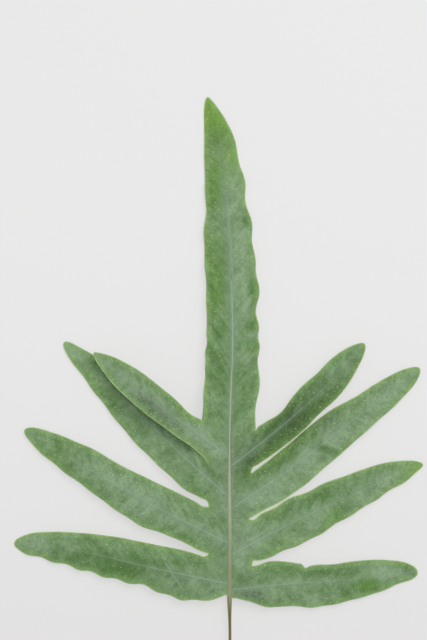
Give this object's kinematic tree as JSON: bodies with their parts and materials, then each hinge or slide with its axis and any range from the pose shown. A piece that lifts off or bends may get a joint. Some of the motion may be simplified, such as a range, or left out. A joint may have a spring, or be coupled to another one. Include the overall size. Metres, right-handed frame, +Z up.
{
  "type": "fern frond",
  "caption": "Cut fern frond lying flat: a leathery blue-green blade cut into strap-shaped side lobes and a long end lobe, on a slender brown stalk.",
  "frame": {"origin": "on the surface the frond rests on, under the middle of its bounding box", "axes": "+Y from the cut end of the stalk towards the tip of the end lobe, +Z up from the surface, +X to the right as seen from above"},
  "size_m": [0.246, 0.3974, 0.0162],
  "materials": {
    "blade": "matte waxy blue-green leaf, yellower green at the edges and tips, with a thin pale margin",
    "stalk": "smooth olive-brown fern stalk, paler and greener up the blade"
  },
  "bodies": {
    "root": {"blade": "blade", "stalk": "stalk"}
  },
  "joints": []
}
